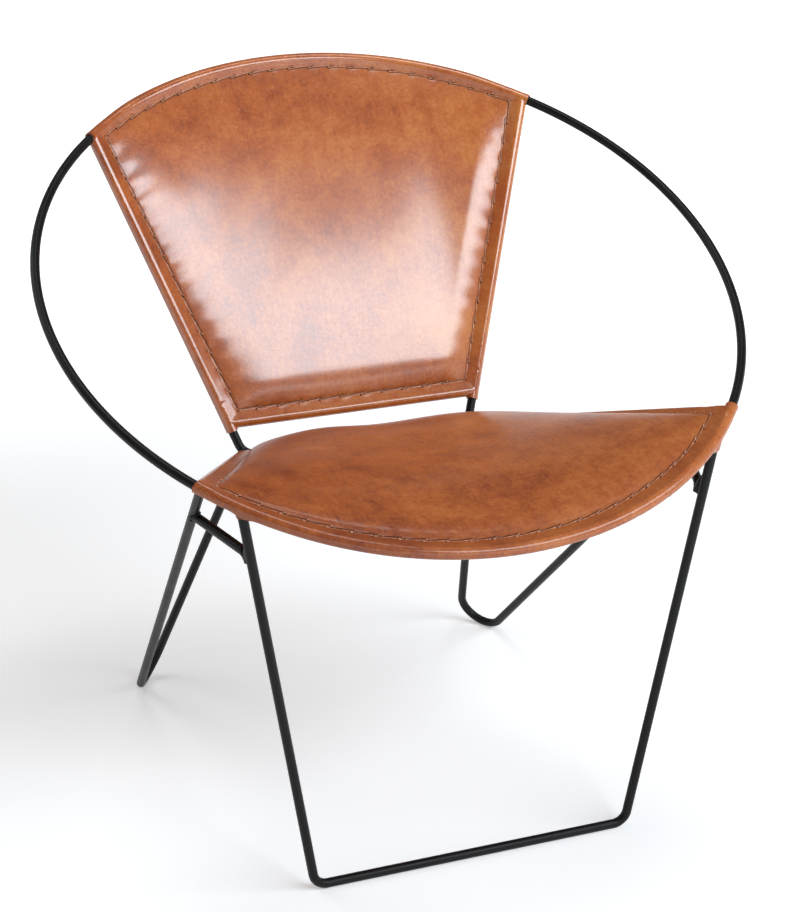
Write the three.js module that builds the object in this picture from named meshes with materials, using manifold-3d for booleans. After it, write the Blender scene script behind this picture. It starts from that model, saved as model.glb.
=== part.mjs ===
// A lounge chair on a tilted hoop of round steel rod, with a laced leather seat and back.
// Millimetres, +Z up. The sitter faces -Y, and "left" is the side at -X, as seen from the front.
// The origin lies on the floor under the middle of the hoop.
import * as THREE from "three";
import { mergeVertices } from "three/addons/utils/BufferGeometryUtils.js";
import Module from "manifold-3d";

const wasm = await Module();
wasm.setup();

// Rod stock, and the gap that stands for each weld line.
const rodDiameter = 10;
const weldGap = 0.3;

// The hoop: a full ring, low at the front and high at the back.
const hoopRadius = 375;
const hoopTilt = THREE.MathUtils.degToRad(24.3);
const hoopCentreHeight = 558;

// Places around the hoop, as angles from the middle of an arm.
const uprightAngle = THREE.MathUtils.degToRad(47);
const frontLegAngle = THREE.MathUtils.degToRad(47.4);
const seatRailAngle = THREE.MathUtils.degToRad(40.4);

// The front leg: two legs and the bar on the floor, bent from one rod.
const frontFootWidth = 355;
const frontFootBend = 16;

// The back frame: two uprights and the rear seat rail, bent from one rod.
const rearRailWidth = 270;
const rearRailSetback = 102;
const rearRailHeight = 337;
const rearRailBend = 18;
const lowerRailRise = 39;

// The rear legs: hairpins hung under the side rails of the seat.
const rearFootWidth = 446;
const rearFootSetback = 226;
const rearFootBend = 28;
const frontStrutInset = 22;
const rearStrutInset = 14;

// The link bars: from the front strut of a rear leg to the back of the front leg.
const linkStrutDrop = 74;
const linkLegDrop = 54;
const linkBend = 10;
const linkLap = 13;

// Leather, foam and lacing thread.
const leatherThickness = 1.6;
const fitGap = 0.3;
const padGap = 0.4;
const lapGap = 0.6;
const slitGap = 1.2;
const notchRadius = 24;
const hemMargin = 3.5;
const threadDiameter = 2;
const threadEndGap = 3;

// The seat cushion. The hem is measured from the middle of the rod to the stitch line.
const seatHemWidth = 16;
const seatHemRise = 3.2;
const seatCrown = 35;
const seatSag = 5;

// The back cushion.
const backHemWidth = 12.5;
const backHemRise = 1;
const backCrown = 12;
const backSag = 3;

// How flat the middle of a cushion is, and how soon its edge reaches that height.
const crownFlatness = 3;
const crownShoulder = 0.4;

// Facets of the model.
const rodSides = 10;
const boreSides = 8;
const slitSides = 4;
const notchSides = 6;
const hoopSegments = 60;
const bendSteps = 5;
const sleeveSteps = 5;
const threadSides = 6;
const seatSteps = { across: 14, depth: 7 };
const backSteps = { across: 14, depth: 7 };
const edgeCrowding = 0.25;

const v3 = (x, y, z) => new THREE.Vector3(x, y, z);

// Joining and cutting closed meshes.
function solidOf(geometry) {
  const bare = geometry.clone();
  bare.deleteAttribute("normal");
  bare.deleteAttribute("uv");
  const merged = mergeVertices(bare);
  return new wasm.Manifold(
    new wasm.Mesh({
      numProp: 3,
      vertProperties: merged.attributes.position.array,
      triVerts: new Uint32Array(merged.index.array),
    }),
  );
}

function geometryOf(solid) {
  const mesh = solid.getMesh();
  const geometry = new THREE.BufferGeometry();
  geometry.setAttribute("position", new THREE.BufferAttribute(mesh.vertProperties, mesh.numProp));
  geometry.setIndex(new THREE.BufferAttribute(mesh.triVerts, 1));
  const faceted = geometry.toNonIndexed();
  faceted.computeVertexNormals();
  return faceted;
}

// What is left of a body once its neighbours are cut away, without the loose offcuts.
function cutBy(body, cutters) {
  const rest = cutters.reduce((left, cutter) => left.subtract(cutter), body);
  return rest.decompose().reduce((a, b) => (a.volume() > b.volume() ? a : b));
}

// A centreline given at the stations where its cross-section stands.
// Each station has a point, a tangent and the direction across the rod that stays flat.
class StationPath extends THREE.Curve {
  constructor(stations) {
    super();
    this.stations = stations;
  }

  stationAt(u) {
    return this.stations[Math.round(u * (this.stations.length - 1))];
  }

  getPointAt(u) {
    return this.stationAt(u).point.clone();
  }

  getTangentAt(u) {
    return this.stationAt(u).tangent.clone();
  }

  computeFrenetFrames() {
    const tangents = this.stations.map((s) => s.tangent);
    const normals = this.stations.map((s) => s.across);
    const binormals = this.stations.map((s) => s.tangent.clone().cross(s.across));
    return { tangents, normals, binormals };
  }
}

// A polygon whose flats lie a radius from the centre, with one flat facing the given angle.
function rodSection(radius, sides, flatAngle) {
  const corners = [];
  for (let k = 0; k < sides; k += 1) {
    const angle = flatAngle + ((k + 0.5) * 2 * Math.PI) / sides;
    const reach = radius / Math.cos(Math.PI / sides);
    corners.push(new THREE.Vector2(reach * Math.cos(angle), reach * Math.sin(angle)));
  }
  return new THREE.Shape(corners);
}

function sweep(stations, radius, sides, flatAngle) {
  return new THREE.ExtrudeGeometry(rodSection(radius, sides, flatAngle), {
    steps: stations.length - 1,
    bevelEnabled: false,
    extrudePath: new StationPath(stations),
  });
}

// The stations of a rod bent in one plane: straight runs with each corner rounded.
function bentRodStations(corners, bendRadius, across) {
  const directions = corners.slice(1).map((c, i) => c.clone().sub(corners[i]).normalize());
  const stations = [{ point: corners[0], tangent: directions[0], across }];
  for (let i = 1; i < corners.length - 1; i += 1) {
    const into = directions[i - 1];
    const out = directions[i];
    const turn = into.angleTo(out);
    const axis = into.clone().cross(out).normalize();
    const start = corners[i].clone().addScaledVector(into, -bendRadius * Math.tan(turn / 2));
    const inward = axis.clone().cross(into);
    const centre = start.clone().addScaledVector(inward, bendRadius);
    for (let k = 0; k <= bendSteps; k += 1) {
      const angle = (turn * k) / bendSteps;
      const spoke = start.clone().sub(centre).applyAxisAngle(axis, angle);
      stations.push({
        point: centre.clone().add(spoke),
        tangent: into.clone().applyAxisAngle(axis, angle),
        across,
      });
    }
  }
  stations.push({ point: corners.at(-1), tangent: directions.at(-1), across });
  return stations;
}

// A rod gives its solid at its own size, or swollen by a gap to cut a neighbour clear of it.
// The flats of the polygon lie at the radius, so a cutter with fewer sides still clears the rod.
class Rod {
  constructor(stations, flatAngle = 0) {
    this.stations = stations;
    this.flatAngle = flatAngle;
  }

  solid(gap = 0, sectionSides = rodSides) {
    return solidOf(sweep(this.stations, rodDiameter / 2 + gap, sectionSides, this.flatAngle));
  }
}

class HoopRod {
  geometry(gap = 0) {
    const tube = (rodDiameter / 2 + gap) / Math.cos(Math.PI / rodSides);
    return new THREE.TorusGeometry(hoopRadius, tube, rodSides, hoopSegments);
  }

  solid(gap = 0) {
    return solidOf(this.geometry(gap).rotateX(hoopTilt).translate(0, 0, hoopCentreHeight));
  }
}

function hoopPoint(angle) {
  const depth = hoopRadius * Math.sin(angle);
  return v3(
    hoopRadius * Math.cos(angle),
    depth * Math.cos(hoopTilt),
    hoopCentreHeight + depth * Math.sin(hoopTilt),
  );
}

const mirrored = (point, side) => v3(point.x * side, point.y, point.z);
const along = (from, to, length) => {
  const direction = to.clone().sub(from).normalize();
  return from.clone().addScaledVector(direction, length);
};
const xAxis = v3(1, 0, 0);
const yAxis = v3(0, 1, 0);
const zAxis = v3(0, 0, 1);

// The joints of the frame on the right side. The left side mirrors them.
const rodRadius = rodDiameter / 2;
const uprightTop = hoopPoint(uprightAngle);
const frontLegTop = hoopPoint(-frontLegAngle);
const frontFoot = v3(frontFootWidth / 2, frontLegTop.y, rodRadius);
const railFront = hoopPoint(-seatRailAngle);
const rearCorner = v3(rearRailWidth / 2, rearRailSetback, rearRailHeight);
const frontStrutTop = along(railFront, rearCorner, frontStrutInset);
const rearStrutTop = along(rearCorner, railFront, rearStrutInset);
const lowerRailEnd = along(rearCorner, uprightTop, lowerRailRise);

const hoop = new HoopRod();

// The legs stand in one upright plane, with a flat of the bar on the floor.
const frontLeg = new Rod(
  bentRodStations(
    [mirrored(frontLegTop, -1), mirrored(frontFoot, -1), frontFoot, frontLegTop],
    frontFootBend,
    yAxis,
  ),
  -Math.PI / 2,
);

const uprightSlope = uprightTop.clone().sub(rearCorner);
const backFramePlane = xAxis.clone().cross(uprightSlope).normalize();
const backFrame = new Rod(
  bentRodStations(
    [mirrored(uprightTop, -1), mirrored(rearCorner, -1), rearCorner, uprightTop],
    rearRailBend,
    backFramePlane,
  ),
);

const lowerRail = new Rod(
  bentRodStations([mirrored(lowerRailEnd, -1), lowerRailEnd], 0, backFramePlane),
);

function seatRailRod(side) {
  const front = mirrored(railFront, side);
  const rear = mirrored(rearCorner, side);
  const across = rear.clone().sub(front).cross(zAxis).normalize();
  return new Rod(bentRodStations([front, rear], 0, across));
}

// A hairpin in the plane of its two strut tops and its foot.
// One facet at the bottom of the bend is level and rests on the floor.
function rearLegRod(side) {
  const front = mirrored(frontStrutTop, side);
  const rear = mirrored(rearStrutTop, side);
  const foot = v3((side * rearFootWidth) / 2, rearFootSetback, rodRadius);
  const plane = front.clone().sub(foot).cross(rear.clone().sub(foot)).normalize();
  const up = zAxis.clone().addScaledVector(plane, -plane.z).normalize();
  const forward = up.clone().cross(plane);

  const halfFacet = Math.PI / (4 * bendSteps);
  const rise = Math.cos(halfFacet) * up.z;
  const centreHeight = rearFootBend * rise + rodRadius * Math.hypot(plane.z, rise);
  const centre = foot.clone().addScaledVector(up, (centreHeight - foot.z) / up.z);

  // The place on the bend, as an angle from forward, where a straight strut touches it.
  const touch = (top, turn) => {
    const reach = top.clone().sub(centre);
    const bearing = Math.atan2(reach.dot(up), reach.dot(forward));
    return bearing + turn * Math.acos(rearFootBend / reach.length());
  };
  const first = touch(front, -1);
  const last = touch(rear, 1) - 2 * Math.PI;
  const bottom = -Math.PI / 2;
  const angles = [];
  for (let k = 0; k <= bendSteps; k += 1) {
    angles.push(THREE.MathUtils.lerp(first, bottom + halfFacet, k / bendSteps));
  }
  for (let k = 0; k <= bendSteps; k += 1) {
    angles.push(THREE.MathUtils.lerp(bottom - halfFacet, last, k / bendSteps));
  }

  const inPlane = (a, b) => forward.clone().multiplyScalar(a).addScaledVector(up, b);
  const bend = angles.map((angle) => ({
    point: centre.clone().addScaledVector(inPlane(Math.cos(angle), Math.sin(angle)), rearFootBend),
    tangent: inPlane(Math.sin(angle), -Math.cos(angle)),
    across: plane,
  }));
  const stations = [
    { point: front, tangent: bend[0].tangent, across: plane },
    ...bend,
    { point: rear, tangent: bend.at(-1).tangent, across: plane },
  ];
  return new Rod(stations, Math.atan2(-rise, -plane.z));
}

// A short bar welded to the strut, whose other end is bent down and lapped on the front leg.
function linkBarRod(side, rearLeg) {
  const [top, touchPoint] = rearLeg.stations.map((s) => s.point);
  const start = along(top, touchPoint, linkStrutDrop);
  const legTop = mirrored(frontLegTop, side);
  const legFoot = mirrored(frontFoot, side);
  const lapOffset = rodDiameter / Math.cos(Math.PI / rodSides) + weldGap;
  const behindLeg = along(legTop, legFoot, linkLegDrop).addScaledVector(yAxis, lapOffset);
  const legRun = legFoot.clone().sub(legTop).normalize();
  const end = behindLeg.clone().addScaledVector(legRun, linkLap);
  const across = behindLeg.clone().sub(start).cross(legRun).normalize();
  return new Rod(bentRodStations([start, behindLeg, end], linkBend, across));
}

const sides = [
  { name: "left", side: -1 },
  { name: "right", side: 1 },
].map(({ name, side }) => {
  const rearLeg = rearLegRod(side);
  return { name, rearLeg, seatRail: seatRailRod(side), linkBar: linkBarRod(side, rearLeg) };
});

// A sling is a leather panel stretched between four rods, given as four edge curves.
// near and far run from left to right, left and right run from near to far.
function slingSurface({ near, far, left, right }) {
  return (u, v) => {
    const point = v3(0, 0, 0);
    point.addScaledVector(near(u), 1 - v).addScaledVector(far(u), v);
    point.addScaledVector(left(v), 1 - u).addScaledVector(right(v), u);
    point.addScaledVector(near(0), -(1 - u) * (1 - v)).addScaledVector(near(1), -u * (1 - v));
    point.addScaledVector(far(0), -(1 - u) * v).addScaledVector(far(1), -u * v);
    return point;
  };
}

// Places along an edge, from 0 to 1, drawn closer together towards its two ends.
function edgeShares(steps) {
  return Array.from({ length: steps + 1 }, (_, k) => {
    const even = k / steps;
    const crowded = (1 - Math.cos(Math.PI * even)) / 2;
    return THREE.MathUtils.lerp(even, crowded, edgeCrowding);
  });
}

const slopeShare = 1e-3;

// The rim of a sling: one station for each place around it, counter-clockwise from near left.
// "out" leads away from the panel. It slants along each edge so that it mitres the corners.
function slingRim(surface, acrossShares, depthShares) {
  const edges = [
    { shares: acrossShares, place: (t) => [t, 0], du: 1, dv: 0 },
    { shares: depthShares, place: (t) => [1, t], du: 0, dv: 1 },
    { shares: acrossShares, place: (t) => [1 - t, 1], du: -1, dv: 0 },
    { shares: depthShares, place: (t) => [0, 1 - t], du: 0, dv: -1 },
  ];
  const stationAt = ({ place, du, dv }, t) => {
    const [u, v] = place(t);
    const across = surface(u + slopeShare, v).sub(surface(u - slopeShare, v));
    const ahead = surface(u, v + slopeShare).sub(surface(u, v - slopeShare));
    const normal = across.clone().cross(ahead).normalize();
    const tangent = across.multiplyScalar(du).addScaledVector(ahead, dv).normalize();
    return { point: surface(u, v), normal, tangent, out: tangent.clone().cross(normal) };
  };
  const mitreAt = (corner) => {
    const before = stationAt(edges[(corner + 3) % 4], 1).out;
    const after = stationAt(edges[corner % 4], 0).out;
    return before.clone().add(after).divideScalar(1 + before.dot(after));
  };
  return edges.flatMap((edge, k) => {
    const startSlant = mitreAt(k).dot(stationAt(edge, 0).tangent);
    const endSlant = mitreAt(k + 1).dot(stationAt(edge, 1).tangent);
    return edge.shares.slice(0, -1).map((t) => {
      const station = stationAt(edge, t);
      const slant = THREE.MathUtils.lerp(startSlant, endSlant, t);
      station.out.addScaledVector(station.tangent, slant);
      return station;
    });
  });
}

// A point beside a rim station: "o" outwards from the rod's centre, "w" off the panel's face.
const beside = (station, o, w) =>
  station.point.clone().addScaledVector(station.out, o).addScaledVector(station.normal, w);

// How far the padding lifts the face: flat over the middle and rounded down to the hem.
function crownShare(u, v) {
  const rise = (t) => 1 - Math.abs(2 * t - 1) ** crownFlatness;
  return Math.max(0, rise(u) * rise(v)) ** crownShoulder;
}

// The panel inside an offset of the rim: rows of points from near to far.
function panelGrid(sling, o, w, crown) {
  const { rim, acrossShares, depthShares } = sling;
  const columns = acrossShares.length - 1;
  const rows = depthShares.length - 1;
  const loop = rim.map((station) => beside(station, o, w));
  const edge = (start, count) =>
    Array.from({ length: count + 1 }, (_, k) => loop[(start + k) % loop.length]);
  const near = edge(0, columns);
  const right = edge(columns, rows);
  const far = edge(columns + rows, columns).reverse();
  const left = edge(2 * columns + rows, rows).reverse();
  const flat = depthShares.map((v, j) =>
    acrossShares.map((u, i) => {
      const point = v3(0, 0, 0);
      point.addScaledVector(near[i], 1 - v).addScaledVector(far[i], v);
      point.addScaledVector(left[j], 1 - u).addScaledVector(right[j], u);
      point.addScaledVector(near[0], -(1 - u) * (1 - v));
      point.addScaledVector(near[columns], -u * (1 - v));
      point.addScaledVector(far[0], -(1 - u) * v).addScaledVector(far[columns], -u * v);
      return point;
    }),
  );
  const clamp = THREE.MathUtils.clamp;
  return flat.map((row, j) =>
    row.map((point, i) => {
      const across = row[clamp(i + 1, 0, columns)].clone().sub(row[clamp(i - 1, 0, columns)]);
      const ahead = flat[clamp(j + 1, 0, rows)][i].clone().sub(flat[clamp(j - 1, 0, rows)][i]);
      const normal = across.cross(ahead).normalize();
      const lift = crown * crownShare(acrossShares[i], depthShares[j]);
      return point.clone().addScaledVector(normal, lift);
    }),
  );
}

// Collects triangles. Faces are wound counter-clockwise as seen from outside.
class Skin {
  constructor() {
    this.positions = [];
  }

  triangle(a, b, c) {
    for (const p of [a, b, c]) this.positions.push(p.x, p.y, p.z);
  }

  quad(a, b, c, d) {
    this.triangle(a, b, c);
    this.triangle(a, c, d);
  }

  // A grid seen from the side its normals face, or from the other side when flipped.
  grid(rows, flipped) {
    for (let j = 0; j + 1 < rows.length; j += 1) {
      for (let i = 0; i + 1 < rows[j].length; i += 1) {
        const corners = [rows[j][i], rows[j][i + 1], rows[j + 1][i + 1], rows[j + 1][i]];
        if (flipped) this.quad(corners[0], corners[3], corners[2], corners[1]);
        else this.quad(...corners);
      }
    }
  }

  // A closed band between loops, listed from the face's edge outwards and round below.
  band(loops) {
    for (let k = 0; k + 1 < loops.length; k += 1) {
      const [inner, outer] = [loops[k], loops[k + 1]];
      inner.forEach((point, i) => {
        const next = (i + 1) % inner.length;
        this.quad(point, outer[i], outer[next], inner[next]);
      });
    }
  }

  solid() {
    const geometry = new THREE.BufferGeometry();
    geometry.setAttribute("position", new THREE.Float32BufferAttribute(this.positions, 3));
    return solidOf(geometry);
  }
}

const gridLoop = (rows) => {
  const right = rows.slice(1, -1).map((row) => row.at(-1));
  const left = rows.slice(1, -1).map((row) => row[0]);
  return [...rows[0], ...right, ...[...rows.at(-1)].reverse(), ...left.reverse()];
};

// The radius of the sleeve of leather round a rod, and the angle round it at which a straight line
// from a point beside the rod touches it from above.
const sleeveRadius = rodRadius + fitGap + leatherThickness;
const sleeveTouch = (distance, height) => {
  const reach = Math.hypot(distance, height);
  return Math.PI - Math.atan2(height, distance) - Math.acos(sleeveRadius / reach);
};

// The outer leather: the padded face, the sleeves round the four rods, and the hem turned under.
function outerLeather(sling, cutters) {
  const { rim, hemWidth, hemEdge, hemRise, crown } = sling;
  const top = hemRise + leatherThickness;
  const bottom = hemRise - leatherThickness;
  const face = panelGrid(sling, -hemEdge, top, crown);
  const inside = panelGrid(sling, -hemEdge, hemRise, crown);
  const start = sleeveTouch(hemWidth, top);
  const end = -sleeveTouch(hemWidth, -bottom);
  const reach = sleeveRadius / Math.cos((start - end) / sleeveSteps / 2);
  const profile = [[-hemWidth, top]];
  for (let k = 0; k < sleeveSteps; k += 1) {
    const angle = THREE.MathUtils.lerp(start, end, (k + 0.5) / sleeveSteps);
    profile.push([reach * Math.cos(angle), reach * Math.sin(angle)]);
  }
  profile.push([-hemWidth, bottom], [-hemEdge, bottom]);
  const loops = profile.map(([o, w]) => rim.map((station) => beside(station, o, w)));
  const skin = new Skin();
  skin.grid(face, false);
  skin.band([gridLoop(face), ...loops, gridLoop(inside)]);
  skin.grid(inside, true);
  return cutBy(skin.solid(), cutters);
}

// The inner leather closes the sling behind the pad and is laced over the turned hem.
function innerLeather(sling) {
  const { rim, hemWidth, hemEdge, hemRise, sag } = sling;
  const bottom = hemRise - leatherThickness;
  const lap = hemWidth - hemMargin;
  const touch = sleeveTouch(hemWidth, -bottom);
  const hemRun = hemWidth + sleeveRadius * Math.cos(touch);
  const hemFall = (bottom + sleeveRadius * Math.sin(touch)) / hemRun;
  const hemFace = bottom - fitGap;
  const lapFace = hemFace - hemMargin * hemFall - lapGap;
  const upper = panelGrid(sling, -hemEdge, hemFace, -sag);
  const lower = panelGrid(sling, -hemEdge, hemFace - leatherThickness, -sag);
  const loop = (o, w) => rim.map((station) => beside(station, o, w));
  const skin = new Skin();
  skin.grid(upper, false);
  skin.band([
    gridLoop(upper),
    loop(-hemWidth, hemFace),
    loop(-lap, lapFace),
    loop(-lap, lapFace - leatherThickness),
    loop(-hemWidth, hemFace - leatherThickness),
    gridLoop(lower),
  ]);
  skin.grid(lower, true);
  return skin.solid();
}

function padding(sling) {
  const { hemEdge, hemRise, crown, sag } = sling;
  const edge = -hemEdge - padGap;
  const floor = hemRise - leatherThickness - fitGap;
  const upper = panelGrid(sling, edge, hemRise - padGap, crown);
  const lower = panelGrid(sling, edge, floor + padGap, -sag);
  const skin = new Skin();
  skin.grid(upper, false);
  skin.band([gridLoop(upper), gridLoop(lower)]);
  skin.grid(lower, true);
  return skin.solid();
}

// One thread round the stitch line, with its two ends side by side in the middle of the far edge.
function lacing(sling) {
  const columns = sling.acrossShares.length - 1;
  const rows = sling.depthShares.length - 1;
  const startIndex = columns + rows + columns / 2;
  const height = sling.hemRise + leatherThickness + padGap + threadDiameter / 2;
  const count = sling.rim.length;
  const points = sling.rim.map((station) => beside(station, -sling.hemWidth, height));
  const ordered = Array.from({ length: count }, (_, k) => (startIndex + k) % count);
  const stations = ordered.map((index) => {
    const ahead = points[(index + 1) % count];
    const behind = points[(index + count - 1) % count];
    const tangent = ahead.clone().sub(behind).normalize();
    const normal = sling.rim[index].normal;
    const across = normal.clone().addScaledVector(tangent, -normal.dot(tangent)).normalize();
    return { point: points[index], tangent, across };
  });
  const end = along(points[startIndex], stations.at(-1).point, threadEndGap);
  stations.push({ ...stations[0], point: end });
  return sweep(stations, threadDiameter / 2, threadSides, 0);
}

function makeSling(edges, acrossSteps, depthSteps, cushion) {
  const acrossShares = edgeShares(acrossSteps);
  const depthShares = edgeShares(depthSteps);
  const rim = slingRim(slingSurface(edges), acrossShares, depthShares);
  const hemEdge = cushion.hemWidth + hemMargin;
  return { acrossShares, depthShares, rim, hemEdge, ...cushion };
}

const straight = (from, to) => (t) => from.clone().lerp(to, t);
const hoopArc = (from, to) => (t) => hoopPoint(THREE.MathUtils.lerp(from, to, t));

const seat = makeSling(
  {
    near: hoopArc(seatRailAngle - Math.PI, -seatRailAngle),
    far: straight(mirrored(rearCorner, -1), rearCorner),
    left: straight(mirrored(railFront, -1), mirrored(rearCorner, -1)),
    right: straight(railFront, rearCorner),
  },
  seatSteps.across,
  seatSteps.depth,
  { hemWidth: seatHemWidth, hemRise: seatHemRise, crown: seatCrown, sag: seatSag },
);

const back = makeSling(
  {
    near: straight(mirrored(lowerRailEnd, -1), lowerRailEnd),
    far: hoopArc(Math.PI - uprightAngle, uprightAngle),
    left: straight(mirrored(lowerRailEnd, -1), mirrored(uprightTop, -1)),
    right: straight(lowerRailEnd, uprightTop),
  },
  backSteps.across,
  backSteps.depth,
  { hemWidth: backHemWidth, hemRise: backHemRise, crown: backCrown, sag: backSag },
);

// Materials.
const paintedSteel = new THREE.MeshStandardMaterial({ color: 0x1b1a1a, roughness: 0.45, metalness: 0 });
const tanLeather = new THREE.MeshStandardMaterial({ color: 0xb0623a, roughness: 0.35, metalness: 0 });
const liningLeather = new THREE.MeshStandardMaterial({ color: 0x9a5230, roughness: 0.6, metalness: 0 });
const foam = new THREE.MeshStandardMaterial({ color: 0xd8cfa8, roughness: 0.95, metalness: 0 });
const waxedThread = new THREE.MeshStandardMaterial({ color: 0xc98a68, roughness: 0.7, metalness: 0 });

function piece(name, geometry, material) {
  const mesh = new THREE.Mesh(geometry, material);
  mesh.name = name;
  return mesh;
}

const solidPiece = (name, solid, material) => piece(name, geometryOf(solid), material);

// The welded frame.
const frame = new THREE.Group();

const hoopMesh = piece("hoop", hoop.geometry(), paintedSteel);
hoopMesh.rotation.x = hoopTilt;
hoopMesh.position.z = hoopCentreHeight;
frame.add(hoopMesh);

const hoopCutter = hoop.solid(weldGap);
const backFrameCutter = backFrame.solid(weldGap);
frame.add(solidPiece("front_leg", cutBy(frontLeg.solid(), [hoopCutter]), paintedSteel));
frame.add(solidPiece("back_frame", cutBy(backFrame.solid(), [hoopCutter]), paintedSteel));
frame.add(solidPiece("back_lower_rail", cutBy(lowerRail.solid(), [backFrameCutter]), paintedSteel));
for (const { name, seatRail, rearLeg, linkBar } of sides) {
  const rail = cutBy(seatRail.solid(), [hoopCutter, backFrameCutter]);
  const leg = cutBy(rearLeg.solid(), [seatRail.solid(weldGap), hoopCutter, backFrameCutter]);
  const link = cutBy(linkBar.solid(), [rearLeg.solid(weldGap)]);
  frame.add(solidPiece(`${name}_seat_rail`, rail, paintedSteel));
  frame.add(solidPiece(`${name}_rear_leg`, leg, paintedSteel));
  frame.add(solidPiece(`${name}_link_bar`, link, paintedSteel));
}

// The laced upholstery. Rods that run in a sleeve fit it closely, and rods that pass out of it
// leave through wider slits. At the rear corners the seat's sleeves are notched round the bends.
function cornerNotch(corner) {
  const notch = new THREE.CylinderGeometry(notchRadius, notchRadius, notchRadius, notchSides);
  notch.rotateX(Math.PI / 2);
  notch.rotateZ(Math.PI / notchSides);
  return solidOf(notch.translate(corner.x, corner.y, corner.z));
}

const seatCover = new THREE.Group();
const seatCutters = [
  hoop.solid(fitGap),
  backFrame.solid(fitGap, boreSides),
  frontLeg.solid(slitGap, slitSides),
  cornerNotch(mirrored(rearCorner, -1)),
  cornerNotch(rearCorner),
  ...sides.flatMap(({ seatRail, rearLeg }) => [
    seatRail.solid(fitGap, boreSides),
    rearLeg.solid(slitGap, slitSides),
  ]),
];
seatCover.add(solidPiece("seat_top_leather", outerLeather(seat, seatCutters), tanLeather));
seatCover.add(solidPiece("seat_underside_leather", innerLeather(seat), liningLeather));
seatCover.add(solidPiece("seat_pad", padding(seat), foam));
seatCover.add(piece("seat_lacing", lacing(seat), waxedThread));

const backCover = new THREE.Group();
const backCutters = [
  hoop.solid(fitGap),
  backFrame.solid(fitGap, boreSides),
  lowerRail.solid(fitGap, boreSides),
];
backCover.add(solidPiece("back_front_leather", outerLeather(back, backCutters), tanLeather));
backCover.add(solidPiece("back_rear_leather", innerLeather(back), liningLeather));
backCover.add(solidPiece("back_pad", padding(back), foam));
backCover.add(piece("back_lacing", lacing(back), waxedThread));

const chair = new THREE.Group();
chair.add(frame, seatCover, backCover);

export default chair;
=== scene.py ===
import math
from functools import partial
from types import SimpleNamespace

import bmesh
import bpy
import numpy as np
from mathutils import Matrix, Quaternion, Vector


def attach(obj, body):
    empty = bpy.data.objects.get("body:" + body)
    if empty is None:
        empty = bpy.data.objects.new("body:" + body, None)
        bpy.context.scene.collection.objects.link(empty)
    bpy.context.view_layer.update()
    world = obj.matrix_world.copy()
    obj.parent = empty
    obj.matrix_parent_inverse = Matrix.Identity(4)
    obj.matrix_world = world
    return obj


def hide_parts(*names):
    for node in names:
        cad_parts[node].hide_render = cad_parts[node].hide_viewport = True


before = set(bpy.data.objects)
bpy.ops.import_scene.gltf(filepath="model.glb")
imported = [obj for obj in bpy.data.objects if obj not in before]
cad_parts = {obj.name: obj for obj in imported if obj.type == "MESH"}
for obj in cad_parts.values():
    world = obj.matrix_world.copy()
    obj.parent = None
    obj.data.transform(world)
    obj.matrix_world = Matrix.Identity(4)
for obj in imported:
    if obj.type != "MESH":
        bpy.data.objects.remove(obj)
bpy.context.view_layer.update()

# The camera stands in front of the chair, to its left, and looks a little down on the seat.
# Its place and lens are worked out from the ring and the bars of the frame in the photograph.
mm = 0.001
camera_turn = math.radians(-21.748)
camera_rise = math.radians(23.703)
camera_roll = math.radians(0.927)
camera_distance = 2563.04 * mm
camera_target = Vector((-12.17, 0, 355.41)) * mm
image_width, image_height = 794, 912
focal_length_pixels = 2362.72
optical_centre = (380.82, 459.73)
sensor_height = 36


def bearing(turn, rise):
    """The direction that is turned right from straight ahead of the chair, and then raised."""
    return Vector((math.sin(turn) * math.cos(rise), -math.cos(turn) * math.cos(rise), math.sin(rise)))


def add_object(name, data):
    added = bpy.data.objects.new(name, data)
    bpy.context.scene.collection.objects.link(added)
    return added


to_camera = bearing(camera_turn, camera_rise)
level_side = Vector((0, 0, 1)).cross(to_camera).normalized()
level_up = to_camera.cross(level_side)
camera_side = level_side * math.cos(camera_roll) + level_up * math.sin(camera_roll)
camera_up = level_up * math.cos(camera_roll) - level_side * math.sin(camera_roll)

camera_data = bpy.data.cameras.new("photo_camera")
camera_data.sensor_fit = "VERTICAL"
camera_data.sensor_height = sensor_height
camera_data.lens = focal_length_pixels / image_height * sensor_height
camera_data.shift_x = (image_width / 2 - optical_centre[0]) / image_height
camera_data.shift_y = (optical_centre[1] - image_height / 2) / image_height
camera = add_object("photo_camera", camera_data)
camera_turned = Matrix((camera_side, camera_up, to_camera)).transposed()
camera_place = Matrix.Translation(camera_target + to_camera * camera_distance)
camera.matrix_world = camera_place @ camera_turned.to_4x4()
bpy.context.scene.camera = camera

# The hoop is a full ring of 10 mm round mild steel rod, rolled to 750 mm and butt welded. It stands
# tilted, low at the front and high at the back, and everything else is welded to it.
# The rod has a black satin powder coat: near black, with soft broad highlights and a faint peel.
rod_radius = 5 * mm
hoop_radius = 375 * mm
hoop_tilt = math.radians(24.3)
hoop_height = 558 * mm
rod_sides = 28
hoop_steps = 240


def linear(hex_colour):
    channels = [int(hex_colour[k:k + 2], 16) / 255 for k in (1, 3, 5)]
    bent = [c / 12.92 if c <= 0.04045 else ((c + 0.055) / 1.055) ** 2.4 for c in channels]
    return (*bent, 1)


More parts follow.
